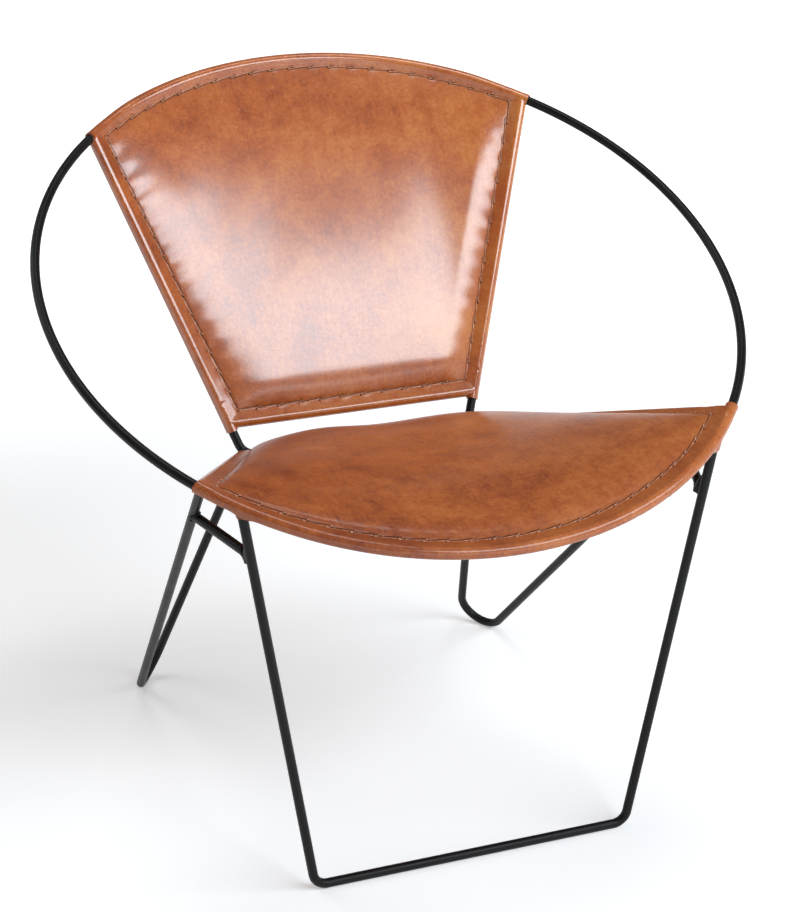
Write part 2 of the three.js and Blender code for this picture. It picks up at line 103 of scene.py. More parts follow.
def add_node(tree, kind, inputs=None, stops=(), **settings):
    """Adds a node. An input is given a value, a socket, or a node that stands for its first output."""
    node = tree.nodes.new("ShaderNode" + kind)
    for name, value in settings.items():
        setattr(node, name, value)
    for name, value in (inputs or {}).items():
        if isinstance(value, bpy.types.Node):
            value = next(output for output in value.outputs if output.enabled)
        if isinstance(value, bpy.types.NodeSocket):
            tree.links.new(value, node.inputs[name])
        else:
            node.inputs[name].default_value = value
    for k, (position, colour) in enumerate(stops):
        elements = node.color_ramp.elements
        stop = elements[k] if k < len(elements) else elements.new(position)
        stop.position = position
        stop.color = linear(colour) if isinstance(colour, str) else colour
    return node


def new_material(name):
    """An empty material, what adds a node to it, and the socket of a place on the object in metres."""
    material = bpy.data.materials.new(name)
    material.use_nodes = True
    material.node_tree.nodes.clear()
    add = partial(add_node, material.node_tree)
    return material, add, add("TexCoord").outputs["Object"]


def satin_black_powder_coat():
    # Cured polyester powder: fine orange peel 2 mm across, and slight gloss changes over 30 mm.
    material, add, place = new_material("satin_black_powder_coat")
    peel = add("TexNoise", {"Vector": place, "Scale": 500, "Detail": 2})
    handling = add("TexNoise", {"Vector": place, "Scale": 33, "Detail": 4, "Roughness": 0.6})
    gloss = add(
        "MapRange", {"Value": handling, "From Min": 0.3, "From Max": 0.7, "To Min": 0.34, "To Max": 0.46}
    )
    tone = add("ValToRGB", {"Fac": handling}, stops=[(0.3, "#0e0d0e"), (0.75, "#191717")])
    relief = add("Bump", {"Height": peel, "Strength": 0.35, "Distance": 0.08 * mm})
    coat = add(
        "BsdfPrincipled",
        {"Base Color": tone, "Roughness": gloss, "IOR": 1.5, "Specular IOR Level": 0.2, "Normal": relief},
    )
    add("OutputMaterial", {"Surface": coat})
    return material


def unit(vectors):
    return vectors / np.linalg.norm(vectors, axis=-1, keepdims=True)


def circle(across, lift, count):
    """Directions round a circle that starts at "across" and goes by way of "lift"."""
    turn = 2 * math.pi * np.arange(count) / count
    return np.cos(turn)[:, None] * across[..., None, :] + np.sin(turn)[:, None] * lift[..., None, :]


def grid_faces(rows, columns, start=0, wrap=False, closed=False, flipped=False, skip=None):
    """Faces between rows of points. "wrap" joins the ends of a row, "closed" the last row to the first."""
    faces = []
    for j in range(rows if closed else rows - 1):
        here, there = start + j * columns, start + (j + 1) % rows * columns
        for i in range(columns if wrap else columns - 1):
            if skip and skip(j, i):
                continue
            after = (i + 1) % columns
            face = (here + i, here + after, there + after, there + i)
            faces.append(face[::-1] if flipped else face)
    return faces


def tube(path, across, radius, sides=rod_sides, closed=False):
    """A round tube along a path. "across" leads off the path and sets where the tube's seam runs."""
    path = np.asarray(path, float)
    ahead = unit(np.roll(path, -1, 0) - np.roll(path, 1, 0) if closed else np.gradient(path, axis=0))
    across = np.broadcast_to(across, path.shape)
    across = unit(across - (across * ahead).sum(1, keepdims=True) * ahead)
    count = len(path)
    reach = np.broadcast_to(radius, count)[:, None, None]
    points = (path[:, None] + reach * circle(across, np.cross(ahead, across), sides)).reshape(-1, 3)
    faces = grid_faces(count, sides, wrap=True, closed=closed)
    if not closed:
        faces.append(tuple(reversed(range(sides))))
        faces.append(tuple(range((count - 1) * sides, count * sides)))
    return points, faces


def make_piece(name, shapes, material, nodes=(), crease=40):
    """One object from several shapes, shaded smooth, riding on the chair's only body."""
    points, faces = [], []
    start = 0
    for shape_points, shape_faces in shapes:
        points.append(np.asarray(shape_points, float))
        faces += [tuple(start + k for k in face) for face in shape_faces]
        start += len(shape_points)
    mesh = bpy.data.meshes.new(name)
    mesh.from_pydata(np.concatenate(points).tolist(), [], faces)
    mesh.polygons.foreach_set("use_smooth", [True] * len(mesh.polygons))
    mesh.set_sharp_from_angle(angle=math.radians(crease))
    mesh.materials.append(material)
    mesh.update()
    piece = add_object(name, mesh)
    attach(piece, "root")
    if nodes:
        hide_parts(*nodes)
    return piece


def make_rod(node, *shapes):
    make_piece(node + "_rod", shapes, black_coat, [node])


def hoop_point(angle):
    """A place on the hoop, by its angle from the middle of the right arm towards the back."""
    depth = hoop_radius * np.sin(angle)
    height = hoop_height + depth * math.sin(hoop_tilt)
    return np.stack([hoop_radius * np.cos(angle), depth * math.cos(hoop_tilt), height], axis=-1)


hoop_axis = np.array([0, -math.sin(hoop_tilt), math.cos(hoop_tilt)])
hoop_path = hoop_point(2 * math.pi * np.arange(hoop_steps) / hoop_steps)
black_coat = satin_black_powder_coat()
make_rod("hoop", tube(hoop_path, hoop_axis, rod_radius, closed=True))

# The front leg is one length of the same rod, bent into a U: two splayed legs and the bar that
# lies on the floor. Its ends are coped and welded under the front of the hoop.
front_leg_angle = math.radians(47.4)
front_foot_width = 355 * mm
front_foot_bend = 16 * mm
bend_steps = 18
bead_radius = 1.9 * mm
covered_bead_radius = 1.1 * mm
bead_ripple = 0.14
bead_steps = 48
bead_sides = 12
bead_stand_off = 0.2 * mm
bead_search_steps = 24

mirror = np.array([-1, 1, 1])


def bent_path(corners, bend_radius):
    """A line through the corners with each one rounded."""
    corners = [np.asarray(c, float) for c in corners]
    path = [corners[0]]
    for before, corner, after in zip(corners, corners[1:], corners[2:]):
        into, out = unit(corner - before), unit(after - corner)
        turn = math.acos(np.clip(into @ out, -1, 1))
        inward, bisecting = unit(out - into), unit(into + out)
        centre = corner + inward * bend_radius / math.cos(turn / 2)
        for k in range(bend_steps + 1):
            angle = turn * (k / bend_steps - 0.5)
            path.append(centre + bend_radius * (bisecting * math.sin(angle) - inward * math.cos(angle)))
    path.append(corners[-1])
    return np.array(path)


def off_hoop(points):
    """How far points are from the surface of the hoop's rod."""
    from_centre = points - np.array([0, 0, hoop_height])
    height = from_centre @ hoop_axis
    flat = np.linalg.norm(from_centre - height[..., None] * hoop_axis, axis=-1)
    return np.hypot(flat - hoop_radius, height) - rod_radius


def off_rod(start, end):
    """How far points are from the surface of a straight rod, as a function of the points."""
    along = unit(end - start)

    def measure(points):
        reach = points - start
        return np.linalg.norm(reach - (reach @ along)[..., None] * along, axis=-1) - rod_radius

    return measure


def weld_bead(end, inner, off_neighbour, radius=bead_radius):
    """The rippled bead where a rod that ends at "end" meets its neighbour's surface."""
    along = unit(inner - end)
    side = unit(np.cross(along, [0.3, 0.2, 0.9]))
    spokes = circle(side, np.cross(along, side), bead_steps)
    low = np.zeros(bead_steps)
    high = np.full(bead_steps, 5 * rod_radius)
    for _ in range(bead_search_steps):
        middle = (low + high) / 2
        clear = off_neighbour(end + middle[:, None] * along + rod_radius * spokes) > 0
        high = np.where(clear, middle, high)
        low = np.where(clear, low, middle)
    seam = end + high[:, None] * along + (rod_radius + bead_stand_off) * spokes
    turn = 2 * math.pi * np.arange(bead_steps) / bead_steps
    ripple = radius * (1 + bead_ripple * np.sin(11 * turn) + bead_ripple / 2 * np.sin(5 * turn + 1))
    return tube(seam, along, ripple, sides=bead_sides, closed=True)


front_leg_top = hoop_point(-front_leg_angle)
front_foot = np.array([front_foot_width / 2, front_leg_top[1], rod_radius])
front_leg_corners = [front_leg_top * mirror, front_foot * mirror, front_foot, front_leg_top]
make_rod(
    "front_leg",
    tube(bent_path(front_leg_corners, front_foot_bend), (0, 1, 0), rod_radius),
    weld_bead(front_leg_top, front_foot, off_hoop, covered_bead_radius),
    weld_bead(front_leg_top * mirror, front_foot * mirror, off_hoop, covered_bead_radius),
)

# The back frame is bent from one rod as well: two uprights from the top of the hoop down behind
# the seat, and the rear seat rail between them. A shorter rail is welded across, above the seat.
upright_angle = math.radians(47)
rear_rail_width = 270 * mm
rear_rail_setback = 102 * mm
rear_rail_height = 337 * mm
rear_rail_bend = 18 * mm
lower_rail_rise = 39 * mm

upright_top = hoop_point(upright_angle)
rear_corner = np.array([rear_rail_width / 2, rear_rail_setback, rear_rail_height])
lower_rail_end = rear_corner + lower_rail_rise * unit(upright_top - rear_corner)
back_frame_plane = unit(np.cross([1, 0, 0], upright_top - rear_corner))
back_frame_corners = [upright_top * mirror, rear_corner * mirror, rear_corner, upright_top]
make_rod("back_frame", tube(bent_path(back_frame_corners, rear_rail_bend), back_frame_plane, rod_radius))
make_rod("back_lower_rail", tube([lower_rail_end * mirror, lower_rail_end], back_frame_plane, rod_radius))

# Two straight rods carry the sides of the seat, from the front of the hoop down to the bends of
# the back frame. They are welded at both ends, and only their rear ends show outside the leather.
seat_rail_angle = math.radians(40.4)

both_sides = (("left", mirror), ("right", np.ones(3)))
rail_front = hoop_point(-seat_rail_angle)
for name, flip in both_sides:
    rail = [rail_front * flip, rear_corner * flip]
    off_upright = off_rod(rear_corner * flip, upright_top * flip)
    make_rod(name + "_seat_rail", tube(rail, (0, 0, 1), rod_radius), weld_bead(*rail[::-1], off_upright))

# Each rear leg is a hairpin of the same rod, hung by its two ends under a side rail of the seat.
# The hairpin leans out and back, and its bend rests on the floor.
rear_foot_width = 446 * mm
rear_foot_setback = 226 * mm
rear_foot_bend = 28 * mm
front_strut_inset = 22 * mm
rear_strut_inset = 14 * mm
hairpin_steps = 40

rail_run = unit(rear_corner - rail_front)
front_strut_top = rail_front + front_strut_inset * rail_run
rear_strut_top = rear_corner - rear_strut_inset * rail_run
rear_foot = np.array([rear_foot_width / 2, rear_foot_setback, rod_radius])
hairpin_plane = unit(np.cross(front_strut_top - rear_foot, rear_strut_top - rear_foot))
hairpin_up = unit(np.array([0, 0, 1]) - hairpin_plane[2] * hairpin_plane)
hairpin_forward = np.cross(hairpin_up, hairpin_plane)
bend_centre = rear_foot + rear_foot_bend * hairpin_up


def touch_angle(top, turn):
    """Where on the bend a straight strut from "top" touches it, as an angle from forward."""
    reach = top - bend_centre
    ahead = math.atan2(reach @ hairpin_up, reach @ hairpin_forward)
    return ahead + turn * math.acos(rear_foot_bend / np.linalg.norm(reach))


bend_turn = np.linspace(
    touch_angle(front_strut_top, -1), touch_angle(rear_strut_top, 1) - 2 * math.pi, hairpin_steps
)
hairpin_bend = bend_centre + rear_foot_bend * (
    np.cos(bend_turn)[:, None] * hairpin_forward + np.sin(bend_turn)[:, None] * hairpin_up
)
hairpin_path = np.concatenate([[front_strut_top], hairpin_bend, [rear_strut_top]])
for name, flip in both_sides:
    off_rail = off_rod(rail_front * flip, rear_corner * flip)
    path = hairpin_path * flip
    make_rod(
        name + "_rear_leg",
        tube(path, hairpin_plane * flip, rod_radius),
        weld_bead(path[0], path[1], off_rail, covered_bead_radius),
        weld_bead(path[-1], path[-2], off_rail, covered_bead_radius),
    )

# A short link bar braces each rear leg to the front leg. One end is welded against the front
# strut. The other is bent down, lies against the back of the front leg and is welded along it.
link_strut_drop = 74 * mm
link_leg_drop = 54 * mm
link_bend = 10 * mm
link_lap = 6 * mm
link_tip = 17 * mm
tip_lean = np.array([0, -1.1 * rod_radius, 0])
tip_taper = 0.7
tip_steps = 6
lap_seam_steps = np.arange(10)[:, None] * mm
lap_seam_offset = 3.1 * mm

link_start = front_strut_top + link_strut_drop * unit(hairpin_bend[0] - front_strut_top)
leg_run = unit(front_foot - front_leg_top)
link_behind_leg = front_leg_top + link_leg_drop * leg_run + np.array([0, 2 * rod_radius, 0])
link_end = link_behind_leg + link_lap * leg_run
for name, flip in both_sides:
    path = bent_path([link_start * flip, link_behind_leg * flip, link_end * flip], link_bend)
    steps = np.linspace(0, 1, tip_steps + 1)[1:, None]
    tip = path[-1] + steps * (link_tip * unit(path[-1] - path[-2]) + tip_lean)
    path = np.concatenate([path, tip])
    thickness = np.full(len(path), rod_radius)
    thickness[-tip_steps:] = rod_radius * np.sqrt(1 - tip_taper * steps[:, 0] ** 2)
    off_strut = off_rod(front_strut_top * flip, hairpin_bend[0] * flip)
    lap_beads = []
    for side in (-1, 1):
        seam = (link_behind_leg + lap_seam_steps * leg_run) * flip
        seam = seam + np.array([side * lap_seam_offset, -rod_radius, 0])
        swell = covered_bead_radius * (1 + bead_ripple * np.sin(np.arange(len(seam)) * 1.9 + side))
        swell[[0, -1]] *= 0.4
        lap_beads.append(tube(seam, (0, 1, 0), swell, sides=bead_sides))
    make_rod(
        name + "_link_bar",
        tube(path, np.cross(path[1] - path[0], leg_run * flip), thickness),
        weld_bead(path[0], path[1], off_strut),
        *lap_beads,
    )

# The seat's top is one cowhide panel over sheet foam. Its edges are wrapped round the hoop and the
# three rails as sleeves, turned under and laced through. The foam lifts it in a soft crown.
# The hide is vegetable tanned, stained cognac by hand and polished: mottled, glossy, dark at seams.
leather_thickness = 1.4 * mm
fit_gap = 0.1 * mm
sleeve_radius = rod_radius + fit_gap + leather_thickness
hem_margin = 3.5 * mm
stitch_pitch = 24 * mm
slant_reach = 0.22
dimple_reach = 4.5 * mm
lobe_reach = 7 * mm
groove_reach = 1.8 * mm
groove = 0.5 * mm
sleeve_steps = 11
hem_steps = 6
wrap_angle = math.radians(110)
slack_fade, slack_turn = 0.12, 0.76
crown_flatness = 3
edge_crowding = 0.4
cloth_columns, cloth_rows, cloth_frames = 52, 32, 20
slit_gap = 1.3 * mm
notch_radius = 20 * mm
notch_reach = 14 * mm
sleeve_end_reach = 14 * mm
sleeve_flare = 0.5 * mm
cuff_steps = 6
cut_unevenness = 0.6 * mm
sleeve_overhang = {"left": 3.5 * mm, "right": 8 * mm}
hood_start, hood_length, hood_end = -2 * mm, 7 * mm, 20 * mm
hood_lean = 0.45
crease_reach, crease_width = 9 * mm, 1.1 * mm
crease_skew, skew_length = 0.8 * mm, 3 * mm
ridge_share, ridge_offset, ridge_width = 0.45, 2.6 * mm, 1.4 * mm
burnish, burnish_reach = 0.7, 6 * mm
merge_reach = 0.02 * mm


def cognac_hide(name, dark, middle, light, coat, dull):
    # Wax and stain lie unevenly: blotches 70 mm wide, clouds of 15 mm, mottling of 4 mm and a 2 mm
    # pebble grain. On top of these, painted light makes the tone lighter towards the right.
    # The real grain is under 1 mm, drawn coarser to show.
    material, add, place = new_material(name)
    stretched = add("Mapping", {"Vector": place, "Scale": (1, 0.12, 0.12)})
    blotches, clouds, streaks, mottling, undulation = [
        add(
            "TexNoise",
            {"Vector": where, "Scale": scale, "Detail": detail, "Roughness": roughness, "Distortion": bend},
        )
        for where, scale, detail, roughness, bend in (
            (place, 14, 3, 0.5, 0.6),
            (place, 65, 5, 0.62, 0),
            (stretched, 260, 4, 0.6, 0),
            (place, 240, 4, 0.7, 0),
            (place, 42, 2, 0.5, 0),
        )
    ]
    pebbles = add("TexVoronoi", {"Vector": place, "Scale": 480, "Smoothness": 0.6}, feature="SMOOTH_F1")
    stain = blotches
    for share, layer in ((0.42, clouds), (0.16, streaks), (0.3, mottling)):
        stain = add("Mix", {"Factor": share, "A": stain, "B": layer})
    # Painted light: the tone is raised steadily towards the right, the side the window lights.
    sideways = add("SeparateXYZ", {"Vector": place})
    painted_side_light = add(
        "MapRange",
        {"Value": sideways, "From Min": -0.32, "From Max": 0.32, "To Min": -0.06, "To Max": 0.08},
    )
    stain_and_painted_light = add("Math", {0: stain, 1: painted_side_light}, operation="ADD")
    tone = add("ValToRGB", {"Fac": stain_and_painted_light}, stops=[(0.36, dark), (0.66, light), (0.5, middle)])

    # The hide is dark, dull and worn beside the seams, and polished where it is taut on a rod.
    seam = add("Attribute", attribute_name="seam").outputs["Fac"]
    taut = add("Attribute", attribute_name="taut").outputs["Fac"]
    seam_share = add("Math", {0: seam, 1: clouds}, operation="MULTIPLY")
    burnished = add("Mix", {"Factor": seam_share, "A": tone, "B": linear("#7a3a18")}, data_type="RGBA")
    gloss = add(
        "MapRange",
        {"Value": clouds, "From Min": 0.3, "From Max": 0.7, "To Min": dull, "To Max": dull + 0.12},
    )
    rough = add("Math", {0: seam, 1: 0.35, 2: gloss}, operation="MULTIPLY_ADD")
    worn_coat = add("MapRange", {"Value": seam, "To Min": coat, "To Max": 0.15 * coat})
    rod_polish = add("Math", {0: taut, 1: 0.4}, operation="MULTIPLY")
    full_coat = add("Math", {0: worn_coat, 1: rod_polish}, operation="MAXIMUM")
    polish = add("MapRange", {"Value": taut, "To Min": 0.22, "To Max": 0.12})

    relief = add("Bump", {"Height": undulation, "Strength": 1, "Distance": 0.3 * mm})
    for height, strength, depth in ((streaks, 0.7, 0.18), (mottling, 0.8, 0.5), (pebbles, 0.8, 0.28)):
        relief = add(
            "Bump", {"Height": height, "Strength": strength, "Distance": depth * mm, "Normal": relief}
        )
    hide = add(
        "BsdfPrincipled",
        {
            "Base Color": burnished,
            "Roughness": rough,
            "IOR": 1.38,
            "Coat Weight": full_coat,
            "Coat Roughness": polish,
            "Coat IOR": 1.7,
            "Normal": relief,
        },
    )
    add("OutputMaterial", {"Surface": hide})
    return material


def straight_rod(start, end):
    """A rod's centreline as a function of the distance from its start, and its length."""
    length = np.linalg.norm(end - start)
    run = (end - start) / length

    def at(distance):
        distance = np.asarray(distance, float)
        return start + distance[..., None] * run, np.broadcast_to(run, distance.shape + (3,))

    return at, length


def hoop_rod(from_angle, to_angle):
    """A stretch of the hoop in the same form."""
    length = abs(to_angle - from_angle) * hoop_radius
    way = math.copysign(1, to_angle - from_angle)

    def at(distance):
        angle = from_angle + way * np.asarray(distance, float) / hoop_radius
        return hoop_point(angle), way * unit(hoop_point(angle + 1e-4) - hoop_point(angle - 1e-4))

    return at, length


def panel_point(rods, u, v):
    """The panel stretched between four rods. u runs from left to right, v from near to far."""
    (near, near_length), (far, far_length) = rods["near"], rods["far"]
    (left, left_length), (right, right_length) = rods["left"], rods["right"]
    u_left, v_near = (1 - u)[..., None], (1 - v)[..., None]
    u_right, v_far = u[..., None], v[..., None]
    row = v_near * near(u * near_length)[0] + v_far * far(u * far_length)[0]
    column = u_left * left(v * left_length)[0] + u_right * right(v * right_length)[0]
    low = u_left * near(0)[0] + u_right * near(near_length)[0]
    high = u_left * far(0)[0] + u_right * far(far_length)[0]
    return row + column - v_near * low - v_far * high


def beside_rod(rods, side, distance, out, height):
    """A point beside a rod: "out" leads away from the panel, "height" leads off its face."""
    at, length = rods[side]
    distance, out, height = np.broadcast_arrays(distance, out, height)
    share = np.clip(distance / length, 0, 1)
    edge = np.full_like(share, side in ("far", "right"))
    u, v = (share, edge) if side in ("near", "far") else (edge, share)
    step = 1e-3
    across = panel_point(rods, u + step, v) - panel_point(rods, u - step, v)
    ahead = panel_point(rods, u, v + step) - panel_point(rods, u, v - step)
    centre, run = at(distance)
    normal = np.cross(across, ahead)
    normal = unit(normal - (normal * run).sum(-1, keepdims=True) * run)
    outward = np.cross(run, normal) if side in ("near", "right") else np.cross(normal, run)
    return centre + out[..., None] * outward + height[..., None] * normal


def crowded_shares(steps):
    """Places from 0 to 1, closer together towards both ends."""
    even = np.arange(steps + 1) / steps
    return (1 - edge_crowding) * even + edge_crowding * (1 - np.cos(math.pi * even)) / 2


def corner_turn(rods, row, column):
    """The cosine and sine of the angle between the two rods of a corner."""
    row_at, row_length = rods[row]
    column_at, column_length = rods[column]
    along_row = row_at(0)[1] if column == "left" else -row_at(row_length)[1]
    along_column = column_at(0)[1] if row == "near" else -column_at(column_length)[1]
    cosine = float(along_row @ along_column)
    return cosine, math.sqrt(1 - cosine**2)


def stitch_line(cushion, side):
    """The start, length and stitch count of a side's stitch line, and the slant at both its ends."""
    ends = []
    for other in ("left", "right") if side in ("near", "far") else ("near", "far"):
        row, column = (side, other) if side in ("near", "far") else (other, side)
        cosine, sine = corner_turn(cushion.rods, row, column)
        ends.append(((cushion.hems[other] + cushion.hems[side] * cosine) / sine, cosine / sine))
    (start, start_slant), (inset, end_slant) = ends
    length = cushion.rods[side][1] - inset - start
    return start, length, round(length / stitch_pitch), start_slant, end_slant


def hem_stations(cushion, side, shares):
    """Where the lines across a hem start on the stitch line, and how they slant to the corners."""
    start, length, _, start_slant, end_slant = stitch_line(cushion, side)
    fade = np.clip(1 - shares / slant_reach, 0, 1) ** 2
    far_fade = np.clip(1 - (1 - shares) / slant_reach, 0, 1) ** 2
    return start + length * shares, end_slant * far_fade - start_slant * fade


def corner_elbow(rods, row, column, profiles, hems, pick):
    """The rounded elbow in which the two sleeves of a corner meet, from outside to the stitches."""
    top = math.copysign(sleeve_radius, profiles[row][1][1])
    outs, levels, falls = [], [], []
    for side in (row, column):
        out, height = np.array(profiles[side]).T
        out = np.maximum(out, -hems[side])
        outs.append(out)
        levels.append(np.where(out <= 0, height, top))
        falls.append(np.where(out <= 0, 1, np.abs(height) / sleeve_radius))
    lift = pick(levels[0][:, None], levels[1]) * (falls[0][:, None] * falls[1])
    row_out, column_out = np.meshgrid(*outs, indexing="ij")
    both = (row_out > 0) & (column_out > 0)
    x, y = row_out / sleeve_radius, column_out / sleeve_radius
    row_round = np.where(both, row_out * np.sqrt(np.clip(1 - y**2 / 2, 0, 1)), row_out)
    column_round = np.where(both, column_out * np.sqrt(np.clip(1 - x**2 / 2, 0, 1)), column_out)
    cosine, sine = corner_turn(rods, row, column)
    along_row = -(column_round + row_round * cosine) / sine
    along_column = -(row_round + column_round * cosine) / sine
    if column == "right":
        along_row = rods[row][1] - along_row
    if row == "far":
        along_column = rods[column][1] - along_column
    return 0.5 * (
        beside_rod(rods, row, along_row, row_round, lift)
        + beside_rod(rods, column, along_column, column_round, lift)
    )


def hide_grid(cushion, profiles, columns, rows, pick):
    """A hide over the whole sling as rows of points, and the part inside the stitches.

    The profiles lead from the outside of each sleeve to the stitches.
    """
    rods, hems = cushion.rods, cushion.hems
    zone = len(profiles["near"])
    across, depth = crowded_shares(columns), crowded_shares(rows)
    grid = np.zeros((2 * zone + rows - 1, 2 * zone + columns - 1, 3))
    inside = slice(zone - 1, zone + rows), slice(zone - 1, zone + columns)
    for side, shares in (("near", across), ("far", across), ("left", depth), ("right", depth)):
        out, height = np.array(profiles[side]).T
        base, slant = hem_stations(cushion, side, shares)
        place = base + slant * (out + hems[side])[:, None]
        strip = beside_rod(rods, side, place, out[:, None], height[:, None])
        lines = grid[:, inside[1]] if side in ("near", "far") else grid[inside[0]].transpose(1, 0, 2)
        if side in ("near", "left"):
            lines[:zone] = strip
        else:
            lines[-zone:] = strip[::-1]
    for row in ("near", "far"):
        for column in ("left", "right"):
            corner = grid[::-1] if row == "far" else grid
            corner = corner[:, ::-1] if column == "right" else corner
            corner[:zone, :zone] = corner_elbow(rods, row, column, profiles, hems, pick)

    inner = grid[inside]
    u, v = across[None, :, None], depth[:, None, None]
    near, far = inner[:1].copy(), inner[-1:].copy()
    left, right = inner[:, :1].copy(), inner[:, -1:].copy()
    filled = (1 - v) * near + v * far + (1 - u) * left + u * right
    filled -= (1 - u) * ((1 - v) * near[:, :1] + v * far[:, :1])
    filled -= u * ((1 - v) * near[:, -1:] + v * far[:, -1:])
    inner[1:-1, 1:-1] = filled[1:-1, 1:-1]
    return grid, inside


def grid_normals(grid):
    return unit(np.cross(np.gradient(grid, axis=1), np.gradient(grid, axis=0)))


def crown_share(u, v, shoulder):
    """How far the padding lifts the face: flat over the middle, rounded down to the stitches."""
    rise = (1 - np.abs(2 * u - 1) ** crown_flatness) * (1 - np.abs(2 * v - 1) ** crown_flatness)
    return np.clip(rise, 0, 1) ** shoulder


def spline_weights(places, count):
    """Weights that spread a coarse row of values smoothly over finer places from 0 to 1."""
    reach = np.asarray(places) * (count - 1)
    start = np.clip(np.floor(reach).astype(int), 0, count - 2)
    t = reach - start
    parts = [(1 - t) ** 3, 3 * t**3 - 6 * t**2 + 4, -3 * t**3 + 3 * t**2 + 3 * t + 1, t**3]
    weights = np.zeros((len(reach), count))
    for k, part in enumerate(parts):
        np.add.at(weights, (np.arange(len(reach)), np.clip(start + k - 1, 0, count - 1)), part / 6)
    return weights


def padded_swell(name, face, across, depth, pressure, cap):
    """Blows a coarse copy of the face up as cloth held at its stitches, and gives the movement."""
    pick_u = [np.abs(across - share).argmin() for share in np.linspace(0, 1, cloth_columns)]
    pick_v = [np.abs(depth - share).argmin() for share in np.linspace(0, 1, cloth_rows)]
    coarse = face[np.ix_(pick_v, pick_u)]
    mesh = bpy.data.meshes.new(name)
    mesh.from_pydata(coarse.reshape(-1, 3).tolist(), [], grid_faces(cloth_rows, cloth_columns))
    sheet = add_object(name, mesh)
    numbers = np.arange(cloth_rows * cloth_columns).reshape(cloth_rows, cloth_columns)
    rim = np.unique(np.concatenate([numbers[[0, -1]].ravel(), numbers[:, [0, -1]].ravel()]))
    sheet.vertex_groups.new(name="stitched").add(rim.tolist(), 1.0, "REPLACE")
    cloth = sheet.modifiers.new("cloth", "CLOTH").settings
    cloth.vertex_group_mass = "stitched"
    cloth.use_pressure = True
    cloth.uniform_pressure_force = pressure
    cloth.tension_stiffness = cloth.compression_stiffness = 25
    cloth.shear_stiffness = 12
    cloth.bending_stiffness = 4
    cloth.mass = 0.5
    cloth.quality = 6
    cloth.effector_weights.gravity = 0
    for step in range(1, cloth_frames + 1):
        bpy.context.scene.frame_set(step)
    settled = sheet.evaluated_get(bpy.context.evaluated_depsgraph_get())
    moved = np.array([p.co for p in settled.data.vertices]).reshape(coarse.shape) - coarse
    bpy.context.scene.frame_set(1)
    bpy.data.objects.remove(sheet)
    for _ in range(4):
        moved[1:-1] = 0.25 * moved[:-2] + 0.5 * moved[1:-1] + 0.25 * moved[2:]
        moved[:, 1:-1] = 0.25 * moved[:, :-2] + 0.5 * moved[:, 1:-1] + 0.25 * moved[:, 2:]
    moved *= min(1, cap / np.linalg.norm(moved, axis=-1).max())
    fine_u, fine_v = spline_weights(across, cloth_columns), spline_weights(depth, cloth_rows)
    return np.einsum("ja,ib,abc->jic", fine_v, fine_u, moved)


def puckers(grid, inside, cushion):
    """How far the stitches pull the hide in at each pair of holes and let it puff up between."""
    total = np.zeros(grid.shape[:2])
    nearest = np.full(grid.shape[:2], 1.0)
    for side in ("near", "far", "left", "right"):
        if side in ("near", "far"):
            (lines, run), points, sums, least = inside, grid, total, nearest
        else:
            (run, lines), points, sums, least = inside, grid.transpose(1, 0, 2), total.T, nearest.T
        gaps = np.linalg.norm(np.diff(points[:, run], axis=0), axis=2)
        travel = np.concatenate([np.zeros((1, gaps.shape[1])), np.cumsum(gaps, 0)], 0)
        if side in ("near", "left"):
            inward = travel - travel[lines.start]
        else:
            inward = travel[lines.stop - 1] - travel
        count = stitch_line(cushion, side)[2]
        phase = crowded_shares(run.stop - run.start - 1) * count
        wave = -np.cos(2 * math.pi * phase) * np.clip(np.minimum(phase, count - phase) * 2, 0, 1)
        uneven = 1 + 0.22 * np.sin(1.7 * phase + count) + 0.14 * np.sin(4.3 * phase)
        away = np.abs(inward)
        rolled = np.maximum(inward, 0) / lobe_reach
        shape = cushion.dimple * np.exp(-((away / dimple_reach) ** 2)) * wave
        shape = shape + cushion.lobes[side] * rolled * np.exp(1 - rolled) * wave
        shape = shape - groove * np.exp(-((away / groove_reach) ** 2))
        sums[:, run] += shape * uneven
        least[:, run] = np.minimum(least[:, run], away)
    return total, nearest


def cut_round(points, faces, centre, axis, radius, reach):
    """Opens a round hole: faces inside it go, and the points left inside move out to its edge."""
    axis = unit(np.asarray(axis, float))
    away = points - centre
    along = away @ axis
    radial = away - along[:, None] * axis
    distance = np.linalg.norm(radial, axis=1)
    inside = (distance < radius) & (np.abs(along) < reach)
    kept = [face for face in faces if not all(inside[k] for k in face)]
    moving = np.where(inside)[0]
    points[moving] += (radial[moving] / distance[moving, None]) * (radius - distance[moving])[:, None]
    return kept


def sleeve_end(at, inner, tip):
    """The open end of a sleeve, cut a little unevenly, standing off the rod that leaves it."""
    sides = rod_sides
    turn = 2 * math.pi * np.arange(sides) / sides
    wall = sleeve_radius - leather_thickness
    steps = [k / cuff_steps for k in range(cuff_steps + 1)]
    loops = [(share, sleeve_radius - fit_gap + sleeve_flare * share**3) for share in steps]
    loops += [(1.0, wall + sleeve_flare), (0.5, wall - fit_gap), (0.0, wall - fit_gap)]
    points = []
    for share, radius in loops:
        wave = share**2 * cut_unevenness * np.sin(2 * turn + 1) * math.copysign(1, tip - inner)
        centre, run = at(inner + (tip - inner) * share + wave)
        side = unit(np.cross(run, [0.2, 0.3, 0.9]))
        spoke = np.cos(turn)[:, None] * side + np.sin(turn)[:, None] * np.cross(run, side)
        points.append(centre + radius * spoke)
    faces = grid_faces(len(loops), sides, wrap=True, closed=True, flipped=tip <= inner)
    return np.concatenate(points), faces


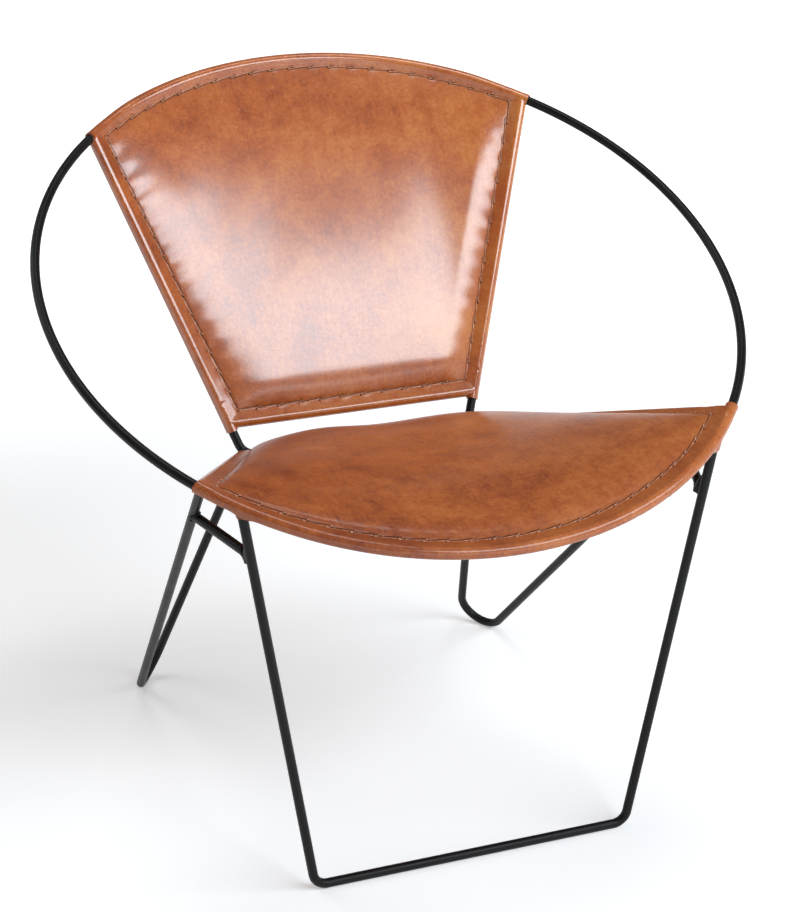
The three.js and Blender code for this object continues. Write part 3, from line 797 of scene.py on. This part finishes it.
def loosen(grid, inside, cushion):
    """Lets the sleeve on the far rod stand off it a little, away from the two corners."""
    shares = crowded_shares(cushion.columns)
    base, _ = hem_stations(cushion, "far", shares)
    centre = beside_rod(cushion.rods, "far", base, 0, 0)
    fade = np.clip(np.minimum(shares, 1 - shares) / slack_fade, 0, 1)
    fade = fade * fade * (3 - 2 * fade)
    for k in range(sleeve_steps):
        angle = wrap_angle * k / (sleeve_steps - 1)
        row = grid[-1 - k, inside[1]]
        row += cushion.slack * math.cos(slack_turn * angle) * fade[:, None] * unit(row - centre)


def sleeve_profile(hem, height, way):
    """From the outside of the sleeve over the rod, off it along its tangent and to the stitch line."""
    reach = math.hypot(hem, height)
    leave = math.atan2(way * height, -hem) % (2 * math.pi) - math.acos(sleeve_radius / reach)
    profile = []
    for k in range(sleeve_steps):
        angle = leave * k / (sleeve_steps - 1)
        profile.append((sleeve_radius * math.cos(angle), way * sleeve_radius * math.sin(angle)))
    start = np.array(profile[-1])
    end = np.array([-hem, height])
    leaving = np.linalg.norm(end - start) * np.array([-math.sin(leave), way * math.cos(leave)])
    for k in range(1, hem_steps + 1):
        t = k / hem_steps
        ends = (2 * t**3 - 3 * t**2 + 1) * start + (3 * t**2 - 2 * t**3) * end
        profile.append(tuple(ends + (2 * t**3 - 3 * t**2 + t) * leaving))
    return profile


def stretch_hoods(points, hoods):
    """Over the top of each leg the wet hide was stretched down into a short hood."""
    for centre, axis, height, reach in hoods:
        axis = unit(axis)
        away = points - centre
        along = away @ axis
        radial = np.linalg.norm(away - along[:, None] * axis, axis=1)
        drawn = np.clip((along - hood_start) / hood_length, 0, 1) ** 2 * (along < hood_end)
        spread = np.exp(-((np.maximum(radial - rod_radius, 0) / reach) ** 2))
        outward = unit(centre * np.array([1, 1, 0]))
        points += (height * drawn * spread)[:, None] * unit(axis + hood_lean * outward)


def press_creases(points, rods, creases):
    """Where the hide was bent round the rod, short creases cross the sleeve."""
    for side, place, depth in creases:
        centre, run = rods[side][0](place)
        local = points - centre
        along = local @ run
        radial = local - along[:, None] * run
        close = np.linalg.norm(radial, axis=1) < crease_reach
        along = along + crease_skew * np.sin(radial[:, 2] / skew_length)
        dent = np.exp(-((along / crease_width) ** 2))
        ridge = ridge_share * np.exp(-(((along - ridge_offset) / ridge_width) ** 2))
        points[close] -= (depth * (dent - ridge)[:, None] * unit(radial))[close]


def cover_leather(name, cushion, creases, hoods, openings, ends, nodes, material):
    """The outer hide of a cushion, from its padded face round the sleeves to the turned hem."""
    columns, rows = cushion.columns, cushion.rows
    upper = {side: sleeve_profile(hem, cushion.stitch_height, 1) for side, hem in cushion.hems.items()}
    top, inside = hide_grid(cushion, upper, columns, rows, np.maximum)
    across, depth = crowded_shares(columns), crowded_shares(rows)
    face = top[inside].copy()
    face += cushion.rise(across[None], depth[:, None])[..., None] * grid_normals(face)
    face += padded_swell(name + "_cloth", face, across, depth, cushion.pressure, cushion.swell)
    top[inside][1:-1, 1:-1] = face[1:-1, 1:-1]
    pulled, nearest = puckers(top, inside, cushion)
    top += pulled[..., None] * grid_normals(top)
    loosen(top, inside, cushion)

    lower = {
        side: sleeve_profile(hem, cushion.lower_height, -1) + [(-hem - hem_margin, cushion.lower_height)]
        for side, hem in cushion.hems.items()
    }
    under, open_part = hide_grid(cushion, lower, columns, rows, np.minimum)
    loosen(under, open_part, cushion)
    points = np.concatenate([top.reshape(-1, 3), under.reshape(-1, 3)])
    open_rows, open_columns = (range(part.start, part.stop - 1) for part in open_part)
    faces = grid_faces(*top.shape[:2])
    faces += grid_faces(
        *under.shape[:2],
        start=top.shape[0] * top.shape[1],
        flipped=True,
        skip=lambda j, i: j in open_rows and i in open_columns,
    )

    # "seam" is strongest at the lacing and low on the sleeves. "taut" is 1 on the sleeves.
    rows_in, columns_in = (np.minimum(np.arange(n), np.arange(n)[::-1]) for n in top.shape[:2])
    steps_in = np.minimum(rows_in[:, None], columns_in)
    seam = np.full(top.shape[:2], 0.3)
    seam[inside] = burnish * np.exp(-nearest[inside] / burnish_reach)
    seam = np.where(steps_in < sleeve_steps, np.minimum(seam, 0.3), seam)
    seam = np.where(steps_in < sleeve_steps - 3, np.minimum(seam, 0.05), seam)
    under_count = under.shape[0] * under.shape[1]
    seam = np.concatenate([seam.ravel(), np.full(under_count, 0.2)])
    taut = np.concatenate([(steps_in < sleeve_steps).ravel(), np.ones(under_count)])

    stretch_hoods(points, hoods)
    press_creases(points, cushion.rods, creases)
    for opening in openings:
        faces = cut_round(points, faces, *opening)
    used = np.unique(np.concatenate([np.array(f) for f in faces]))
    index = np.full(len(points), -1)
    index[used] = np.arange(len(used))
    shapes = [(points[used], [tuple(index[k] for k in f) for f in faces])]
    shapes += [sleeve_end(*end) for end in ends]
    end_count = sum(len(shape[0]) for shape in shapes[1:])
    piece = make_piece(name, shapes, material, nodes, crease=75)
    for label, values, at_ends in (("seam", seam, 0.25), ("taut", taut, 1.0)):
        values = np.concatenate([values[used], np.full(end_count, at_ends)])
        attribute = piece.data.attributes.new(label, "FLOAT", "POINT")
        attribute.data.foreach_set("value", values.astype(np.float32))
    shell = bmesh.new()
    shell.from_mesh(piece.data)
    bmesh.ops.remove_doubles(shell, verts=shell.verts, dist=merge_reach)
    shell.to_mesh(piece.data)
    shell.free()
    thick = piece.modifiers.new("hide_thickness", "SOLIDIFY")
    thick.thickness = leather_thickness
    thick.offset = -1
    return top, inside


seat_crown, seat_shoulder = 33 * mm, 0.555
seat_fullness = 4 * mm


def seat_rise(u, v):
    """The seat's padding is high and soft, and fullest at the left of the rear edge."""
    full = seat_fullness * np.exp(-(((u - 0.28) / 0.16) ** 2) - ((v - 0.85) / 0.18) ** 2)
    return seat_crown * crown_share(u, v, seat_shoulder) + full


def ends_of(rod):
    """Where a cushion's two sleeve ends stand out on the hoop, beyond the panel's corners."""
    at, length = rod
    return [
        (at, sleeve_end_reach, -sleeve_overhang["left"]),
        (at, length - sleeve_end_reach, length + sleeve_overhang["right"]),
    ]


seat = SimpleNamespace(
    rods={
        "near": hoop_rod(seat_rail_angle - math.pi, -seat_rail_angle),
        "far": straight_rod(rear_corner * mirror, rear_corner),
        "left": straight_rod(rail_front * mirror, rear_corner * mirror),
        "right": straight_rod(rail_front, rear_corner),
    },
    hems={"near": 16 * mm, "far": 12 * mm, "left": 13 * mm, "right": 11 * mm},
    stitch_height=7.2 * mm,
    lower_height=1.6 * mm,
    rise=seat_rise,
    columns=180,
    rows=96,
    dimple=0.35 * mm,
    lobes={"near": 0.14 * mm, "far": 0.12 * mm, "left": 0.2 * mm, "right": 0.14 * mm},
    slack=0.3 * mm,
    pressure=2.0,
    swell=6 * mm,
)
seat_crease_depth = 0.45 * mm
seat_creases = [
    ("near", (math.radians(angle) - (seat_rail_angle - math.pi)) * hoop_radius, seat_crease_depth)
    for angle in (-107.0, -94.8, -77.9, -70.0, -63.4)
]
seat_openings = []
seat_hoods = []
panel_normal = unit(np.cross([1, 0, 0], rear_corner - hoop_point(-math.pi / 2)))
for flip, hood_height in ((mirror, 2 * mm), (np.ones(3), 5 * mm)):
    seat_openings.append((rear_corner * flip, panel_normal, notch_radius, notch_reach))
    for top, foot, drop, reach, height, spread in (
        (front_leg_top, front_foot, 19 * mm, 12 * mm, hood_height, 6 * mm),
        (front_strut_top, hairpin_bend[0], 16 * mm, 11 * mm, 2 * mm, 5 * mm),
    ):
        axis = (foot - top) * flip
        seat_openings.append((top * flip + unit(axis) * drop, axis, rod_radius + slit_gap, reach))
        seat_hoods.append((top * flip, axis, height, spread))
seat_upper = cover_leather(
    "seat_cushion",
    seat,
    seat_creases,
    seat_hoods,
    seat_openings,
    ends_of(seat.rods["near"]),
    ["seat_top_leather", "seat_pad"],
    cognac_hide("waxed_cognac_hide", "#772e10", "#a5531f", "#c47135", 0.3, 0.4),
)

# The seat's underside is a plain hide that closes the cushion below the foam. It is lapped over
# the turned hem and held by the same lacing. Left unpolished, it looks paler and dull.
lining_thickness = 1.6 * mm
lining_columns, lining_rows = 72, 44
lap_gap = 0.1 * mm
lap_fall = 0.7 * mm


def plain_tan_hide():
    # The dull side of drum dyed hide: even tan, 25 mm clouds, and a nap of fine 1.5 mm flecks.
    material, add, place = new_material("plain_tan_hide")
    clouds = add("TexNoise", {"Vector": place, "Scale": 40, "Detail": 4})
    nap = add("TexNoise", {"Vector": place, "Scale": 650, "Detail": 3, "Roughness": 0.7})
    mixed = add("Mix", {"Factor": 0.35, "A": clouds, "B": nap})
    tone = add("ValToRGB", {"Fac": mixed}, stops=[(0.32, "#8a4b28"), (0.7, "#a5663c")])
    relief = add("Bump", {"Height": nap, "Strength": 0.6, "Distance": 0.15 * mm})
    hide = add(
        "BsdfPrincipled",
        {"Base Color": tone, "Roughness": 0.72, "IOR": 1.45, "Sheen Weight": 0.15, "Normal": relief},
    )
    add("OutputMaterial", {"Surface": hide})
    return material


def lining_leather(name, cushion, sag, node):
    """A flat hide lapped over the turned hem, sagging a little in its middle."""
    hem_face = cushion.lower_height - lap_gap
    profiles = {
        side: [
            (-hem + hem_margin, hem_face - lap_fall),
            (-hem + 0.5 * hem_margin, hem_face - lap_gap),
            (-hem, hem_face),
        ]
        for side, hem in cushion.hems.items()
    }
    grid, inside = hide_grid(cushion, profiles, lining_columns, lining_rows, np.minimum)
    across, depth = crowded_shares(lining_columns), crowded_shares(lining_rows)
    face = grid[inside]
    fall = sag * crown_share(across[None], depth[:, None], 0.7)
    face[1:-1, 1:-1] -= (fall[..., None] * grid_normals(face.copy()))[1:-1, 1:-1]
    shape = (grid.reshape(-1, 3), grid_faces(*grid.shape[:2], flipped=True))
    piece = make_piece(name, [shape], tan_hide, [node], crease=60)
    thick = piece.modifiers.new("hide_thickness", "SOLIDIFY")
    thick.thickness = lining_thickness
    thick.offset = 1
    return grid, inside


tan_hide = plain_tan_hide()
seat_under = lining_leather(
    "seat_underside_hide", seat, 5 * mm, "seat_underside_leather"
)

# A running stitch of waxed cord goes round each cushion by hand, 24 mm a step. Each stitch leans
# from the inner hole of one pair to the outer hole of the next, and pulls the hide down with it.
thread_radius = 0.95 * mm
thread_points = 15
thread_sides = 8
stitch_arch, stitch_slope, stitch_dive = 0.8 * mm, 3 * mm, 1.2 * mm
shadow_line_radius = 0.42 * mm
shadow_line_offset = 1.25 * mm
shadow_line_height = 0.12 * mm
hole_radius = 1.35 * mm
hole_sides = 14
pair_length = 5.4 * mm
pair_width = 3 * mm


def waxed_cord():
    # Plied linen drawn through wax: tan pink, with ply marks 1.5 mm apart and a dull shine.
    material, add, place = new_material("waxed_cord")
    plies = add("TexNoise", {"Vector": place, "Scale": 700, "Detail": 2})
    tone = add("ValToRGB", {"Fac": plies}, stops=[(0.3, "#9c5636"), (0.65, "#d79a78")])
    relief = add("Bump", {"Height": plies, "Strength": 0.6, "Distance": 0.25 * mm})
    cord = add("BsdfPrincipled", {"Base Color": tone, "Roughness": 0.5, "IOR": 1.45, "Normal": relief})
    add("OutputMaterial", {"Surface": cord})
    return material


def hole_edge_and_painted_shade():
    # The cut edge of a punched hole is dyed dark, and the hole's depth is painted shade: almost black
    # brown and matt. The painted shadow lines beside the stitches use it too.
    material, add, place = new_material("hole_edge_and_painted_shade")
    fibres = add("TexNoise", {"Vector": place, "Scale": 900})
    tone = add("ValToRGB", {"Fac": fibres}, stops=[(0, "#1d0d06"), (1, "#4a2412")])
    edge = add("BsdfPrincipled", {"Base Color": tone, "Roughness": 0.85})
    add("OutputMaterial", {"Surface": edge})
    return material


def on_hide(hide, side, share, outward):
    """A place on a hide beside its stitch line, and the direction that faces away from it."""
    grid, inside = hide
    lengthways = side in ("near", "far")
    lines, (across, along) = (grid, inside) if lengthways else (grid.transpose(1, 0, 2), inside[::-1])
    stitch_row, outer = (across.start, -1) if side in ("near", "left") else (across.stop - 1, 1)
    shares = crowded_shares(along.stop - along.start - 1)

    def line(number):
        row = lines[number, along]
        return np.stack([np.interp(share, shares, row[:, k]) for k in range(3)], axis=-1)

    here, outside, inner = line(stitch_row), line(stitch_row + outer), line(stitch_row - outer)
    outward = np.asarray(outward)[..., None]
    leading = np.where(outward > 0, unit(outside - here), unit(inner - here))
    place = here + np.abs(outward) * leading
    return place, unit(np.cross(np.gradient(place, axis=0), outside - inner))


def punched_rim(centre, up):
    """The dished mouth of a hole where a stitch goes down, dark with painted shade of the hole's depth."""
    side = unit(np.cross(up, [0.9, 0.1, 0.3]))
    spokes = hole_radius * circle(side, np.cross(up, side), hole_sides)
    rings = ((1, -0.5), (1, 0.12), (0.8, 0.3), (0.5, 0.1))
    points = [centre + share * spokes + height * mm * up for share, height in rings]
    points.append([centre - 0.2 * mm * up])
    last, tip = 3 * hole_sides, 4 * hole_sides
    faces = [tuple(reversed(range(hole_sides)))] + grid_faces(4, hole_sides, wrap=True)
    faces += [(last + k, last + (k + 1) % hole_sides, tip) for k in range(hole_sides)]
    return np.concatenate(points), faces


def stitches(cushion, hide, way, name, nodes):
    """Every stitch on one face of a cushion, the pair of holes at each of its ends, and a painted shadow
    line beside it.
    """
    threads, holes = [], []
    share = np.linspace(0, 1, thread_points)
    for side in ("near", "right", "far", "left"):
        _, length, count, _, _ = stitch_line(cushion, side)
        for k in range(count):
            start, start_lean = k * length / count - pair_length / 2, pair_width / 2
            end, end_lean = (k + 1) * length / count + pair_length / 2, -pair_width / 2
            if k == 0:
                start, start_lean = 1 * mm, 0.4 * mm
            if k == count - 1:
                end, end_lean = length - 1 * mm, 0
            along = start + (end - start) * share
            along = along if side in ("near", "right") else length - along
            lean = start_lean + (end_lean - start_lean) * share
            place, facing = on_hide(hide, side, along / length, lean)
            facing = facing * way
            dive = np.minimum(share, 1 - share) * (end - start)
            rise = stitch_arch * np.clip(dive / stitch_slope, 0, 1) ** 0.7 - stitch_dive * (dive < 0.1 * mm)
            threads.append(tube(place + rise[:, None] * facing, facing, thread_radius, sides=thread_sides))
            # A thin dark cord along the inner side of each stitch is painted shade: the shadow line where
            # the thread sinks into the hide.
            shadow_line_place, shadow_line_facing = on_hide(hide, side, along / length, lean - shadow_line_offset)
            shadow_line_facing = shadow_line_facing * way
            holes.append(tube(shadow_line_place + shadow_line_height * shadow_line_facing, shadow_line_facing, shadow_line_radius, sides=6))
            holes.append(punched_rim(place[0], facing[0]))
            holes.append(punched_rim(place[-1], facing[-1]))
    make_piece(name + "_stitches", threads, cord_finish, nodes)
    make_piece(name + "_holes", holes, dyed_edge_and_painted_shade)


cord_finish = waxed_cord()
dyed_edge_and_painted_shade = hole_edge_and_painted_shade()
stitches(seat, seat_upper, 1, "seat_top", ["seat_lacing"])
stitches(seat, seat_under, -1, "seat_underside", [])

# The back cushion is made like the seat, but with thin foam: a nearly flat pillow with rounded
# shoulders. Its hide is wrapped round the hoop, the two uprights and the lower rail.
back_crown = 8.5 * mm
back_dome = 6 * mm
back_roll = {"near": 31 * mm, "far": 120 * mm, "left": 60 * mm, "right": 34 * mm}


def back_rise(u, v):
    """The back's foam ends short of the stitches, so that its face rolls down round the edges."""
    width = (1 - v) * back.rods["near"][1] + v * back.rods["far"][1]
    height = back.rods["left"][1]
    inward = {"near": v * height, "far": (1 - v) * height, "left": u * width, "right": (1 - u) * width}
    lift = back_crown
    for side, distance in inward.items():
        lift = lift * (1 - np.clip(1 - distance / back_roll[side], 0, 1) ** 2)
    return lift + back_dome * (1 - (2 * u - 1) ** 2) * (1 - (2 * v - 1) ** 2)


back = SimpleNamespace(
    rods={
        "near": straight_rod(lower_rail_end * mirror, lower_rail_end),
        "far": hoop_rod(math.pi - upright_angle, upright_angle),
        "left": straight_rod(lower_rail_end * mirror, upright_top * mirror),
        "right": straight_rod(lower_rail_end, upright_top),
    },
    hems={"near": 12.5 * mm, "far": 9 * mm, "left": 15 * mm, "right": 12.5 * mm},
    stitch_height=2.6 * mm,
    lower_height=-0.6 * mm,
    rise=back_rise,
    columns=180,
    rows=110,
    dimple=0.35 * mm,
    lobes={"near": 0.09 * mm, "far": 0.07 * mm, "left": 0.32 * mm, "right": 0.13 * mm},
    slack=1.5 * mm,
    pressure=0.8,
    swell=2.5 * mm,
)
back_creases = [("left", 23.5 * mm, 0.4 * mm), ("right", 24 * mm, 0.4 * mm), ("near", 78 * mm, 0.25 * mm)]
lower_sleeve_ends = [(back.rods[side][0], sleeve_end_reach, -10 * mm) for side in ("left", "right")]
back_upper = cover_leather(
    "back_cushion",
    back,
    back_creases,
    [],
    [],
    ends_of(back.rods["far"]) + lower_sleeve_ends,
    ["back_front_leather", "back_pad"],
    cognac_hide("polished_cognac_hide", "#8a3c14", "#b55b20", "#cf7c38", 1.0, 0.28),
)
back_under = lining_leather(
    "back_rear_hide", back, 3 * mm, "back_rear_leather"
)
stitches(back, back_upper, 1, "back_front", ["back_lacing"])
stitches(back, back_under, -1, "back_rear", [])

# The studio: a white painted floor, a broad bluish window to the right of the camera, which is the
# light that the back mirrors, a lamp overhead, a weak one in front and one behind. The world is a
# white horizon with dark grey above it.
floor_half = 9.0
lamp_aim = Vector((0, 0, 0.42))
window_blue, plain_white = (0.83, 0.93, 1.0), (1, 1, 1)
dark_sky = (0.12, 0.12, 0.125, 1)


def white_floor_paint():
    # Matt emulsion on a smooth floor: even white with a faint 5 mm roller stipple.
    material, add, place = new_material("white_floor_paint")
    stipple = add("TexNoise", {"Vector": place, "Scale": 200})
    relief = add("Bump", {"Height": stipple, "Strength": 0.1, "Distance": 0.1 * mm})
    painted = add(
        "BsdfPrincipled",
        {"Base Color": linear("#f4f4f4"), "Roughness": 0.9, "Specular IOR Level": 0.1, "Normal": relief},
    )
    # To the eye and in reflections the paint is a little whiter, and pure white 2 m away.
    rays = add("LightPath").outputs
    seen = rays["Is Camera Ray"]
    for kind in ("Is Glossy Ray", "Is Transmission Ray"):
        seen = add("Math", {0: seen, 1: rays[kind]}, operation="MAXIMUM")
    distance = add("VectorMath", {0: place}, operation="LENGTH").outputs["Value"]
    whiter = add(
        "MapRange",
        {"Value": distance, "From Min": 0.7, "From Max": 2, "To Min": 0.34, "To Max": 1},
        interpolation_type="SMOOTHSTEP",
    )
    glow = add("Math", {0: seen, 1: whiter}, operation="MULTIPLY")
    white = add("Emission", {"Strength": glow})
    add("OutputMaterial", {"Surface": add("AddShader", {0: painted, 1: white})})
    return material


floor_mesh = bpy.data.meshes.new("studio_floor")
floor_corners = [(-1, -1), (1, -1), (1, 1), (-1, 1)]
floor_mesh.from_pydata([(x * floor_half, y * floor_half, 0) for x, y in floor_corners], [], [(0, 1, 2, 3)])
floor_mesh.materials.append(white_floor_paint())
add_object("studio_floor", floor_mesh)

# Each lamp: its turn, rise and lean in degrees, its distance, width and height, its glow and colour.
for name, turn, rise, lean, away, width, height, glow, colour in (
    ("window", 38, 36, -13, 3.4, 3.1, 1.2, 8.6, window_blue),
    ("overhead", 150, 82, 0, 3.2, 1.5, 1.3, 4.6, plain_white),
    ("front_fill", 12, 6, 0, 3.6, 2.6, 0.7, 2.2, plain_white),
    ("rear_fill", -128, 38, 0, 3.4, 1.8, 1.2, 3.0, plain_white),
):
    towards = bearing(math.radians(turn), math.radians(rise))
    lamp_data = bpy.data.lights.new(name, "AREA")
    lamp_data.shape = "RECTANGLE"
    lamp_data.size = width
    lamp_data.size_y = height
    lamp_data.energy = glow * math.pi * width * height
    lamp_data.color = colour
    lamp = add_object(name, lamp_data)
    lamp.location = lamp_aim + towards * away
    leaning = Quaternion(towards, math.radians(lean))
    lamp.rotation_euler = (leaning @ towards.to_track_quat("Z", "Y")).to_euler()

world = bpy.data.worlds.new("studio_world")
world.use_nodes = True
world.node_tree.nodes.clear()
add_sky = partial(add_node, world.node_tree)
sky_place = add_sky("TexCoord").outputs["Generated"]
sky_height = add_sky("SeparateXYZ", {"Vector": sky_place}).outputs["Z"]
sky_tone = add_sky("ValToRGB", {"Fac": sky_height}, stops=[(0.07, "#ffffff"), (0.24, dark_sky)])
sky = add_sky("Background", {"Color": sky_tone, "Strength": 1})
add_sky("OutputWorld", {"Surface": sky})
bpy.context.scene.world = world
bpy.context.scene.view_settings.view_transform = "Standard"
